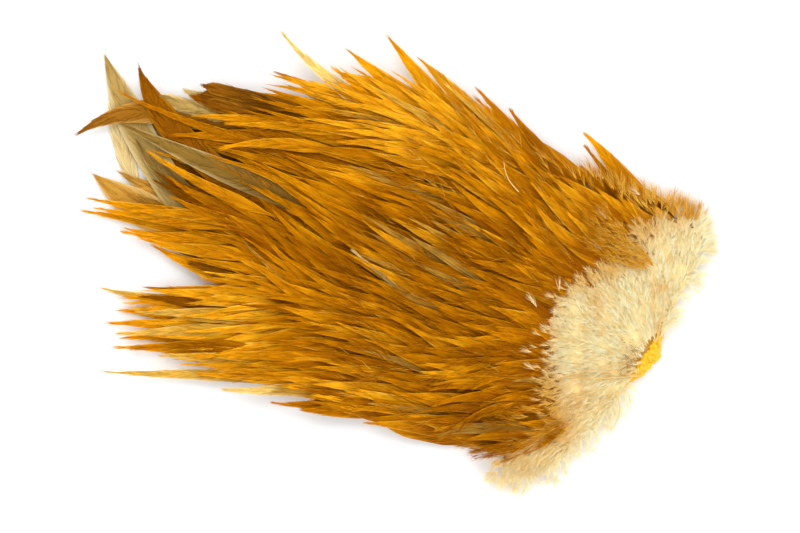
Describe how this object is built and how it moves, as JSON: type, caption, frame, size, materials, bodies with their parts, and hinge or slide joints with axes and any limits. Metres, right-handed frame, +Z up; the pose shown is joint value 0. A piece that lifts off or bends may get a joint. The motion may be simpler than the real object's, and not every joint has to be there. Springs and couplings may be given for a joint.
{
  "type": "rooster saddle hackle",
  "caption": "Dried rooster saddle patch lying flat: hide with cream down at the neck end and shingled long golden hackle feathers.",
  "frame": {"origin": "middle of the patch's box, on the surface that it lies on", "axes": "+X along the patch towards the cut neck edge, +Y across it, +Z up out of the hide on its feathered side"},
  "size_m": [0.2234, 0.1422, 0.0148],
  "materials": {
    "dried_hide": "dried, fatty yellow",
    "cream_down": "soft matted down",
    "gold_vane": "satin, fibrous",
    "pale_gold_vane": "satin, fibrous",
    "brown_vane": "satin, fibrous",
    "tan_vane": "satin, fibrous",
    "grey_vane": "satin, fibrous"
  },
  "bodies": {
    "root": {"back_feather_01": "gold_vane", "back_feather_02": "gold_vane", "back_feather_03": "gold_vane", "back_feather_04": "gold_vane", "back_feather_05": "gold_vane", "back_feather_06": "gold_vane", "back_feather_07": "gold_vane", "back_feather_08": "gold_vane", "back_feather_09": "gold_vane", "back_feather_10": "gold_vane", "back_feather_11": "gold_vane", "back_feather_12": "gold_vane", "back_feather_13": "gold_vane", "back_feather_14": "gold_vane", "back_feather_15": "gold_vane", "back_feather_16": "gold_vane", "back_feather_17": "gold_vane", "back_feather_18": "gold_vane", "back_feather_19": "gold_vane", "back_feather_20": "gold_vane", "back_feather_21": "gold_vane", "back_feather_22": "gold_vane", "back_feather_23": "gold_vane", "back_feather_24": "gold_vane", "back_feather_25": "gold_vane", "back_feather_26": "gold_vane", "back_feather_27": "gold_vane", "back_feather_28": "gold_vane", "back_feather_29": "gold_vane", "back_feather_30": "gold_vane", "brown_feather_blunt": "brown_vane", "brown_feather_curved": "brown_vane", "brown_feather_inner": "brown_vane", "brown_feather_upright": "brown_vane", "gold_feather_crossing": "gold_vane", "gold_feather_high": "gold_vane", "gold_feather_inner": "gold_vane", "gold_feather_low": "gold_vane", "gold_feather_notch": "gold_vane", "grey_feather_middle": "grey_vane", "grey_feather_outer": "grey_vane", "lobe_feather_1": "pale_gold_vane", "lobe_feather_2": "gold_vane", "lobe_feather_3": "gold_vane", "lobe_feather_4": "gold_vane", "lobe_feather_5": "gold_vane", "lobe_feather_6": "gold_vane", "lower_edge_feather_1": "pale_gold_vane", "lower_edge_feather_2": "gold_vane", "neck_down": "cream_down", "skin": "dried_hide", "slim_feather": "pale_gold_vane", "tan_feather": "tan_vane", "upper_edge_feather_1": "gold_vane", "upper_edge_feather_2": "pale_gold_vane", "upper_edge_feather_3": "gold_vane", "upper_edge_feather_4": "gold_vane", "upper_edge_feather_5": "gold_vane", "upper_edge_feather_6": "gold_vane", "upper_edge_feather_7": "gold_vane"}
  },
  "joints": []
}
